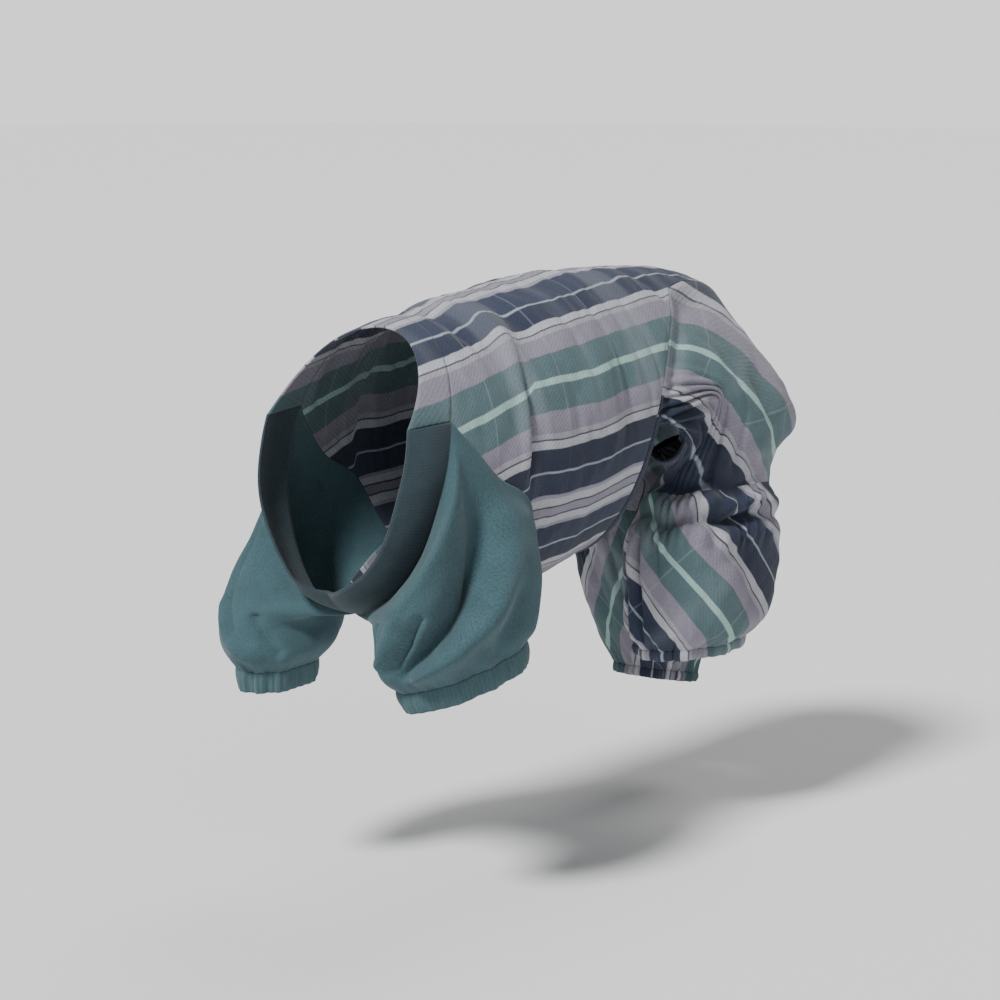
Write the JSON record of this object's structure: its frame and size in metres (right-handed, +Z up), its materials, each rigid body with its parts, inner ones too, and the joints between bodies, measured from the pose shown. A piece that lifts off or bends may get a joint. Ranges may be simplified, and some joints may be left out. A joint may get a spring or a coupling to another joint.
{
  "type": "dog jumpsuit",
  "caption": "Pyjama jumpsuit for a dog: striped body and gathered hind legs, teal knit sleeves, V collar and an open elastic underside, in its worn shape.",
  "frame": {"origin": "inner side of the cloth at the middle of the back, where the garment lies on the wearer", "axes": "+X towards the tail, +Y towards the wearer's right side, +Z up"},
  "size_m": [0.5702, 0.2673, 0.4151],
  "materials": {
    "striped_cotton": "brushed woven cotton with stripes along the body",
    "teal_knit": "soft ribbed knit",
    "slate_knit": "darker ribbed knit band",
    "elastic_casing": "narrow gathered cotton casing over elastic"
  },
  "bodies": {
    "root": {"striped_body": "striped_cotton", "chest_panel": "striped_cotton", "nape_band": "striped_cotton", "hind_leg_left": "striped_cotton", "hind_leg_right": "striped_cotton", "sleeve_left": "teal_knit", "sleeve_right": "teal_knit", "collar": "slate_knit", "sleeve_cuff_left": "slate_knit", "sleeve_cuff_right": "slate_knit", "hind_hem_left": "elastic_casing", "hind_hem_right": "elastic_casing", "belly_hem": "elastic_casing", "seat_hem": "elastic_casing"}
  },
  "joints": []
}
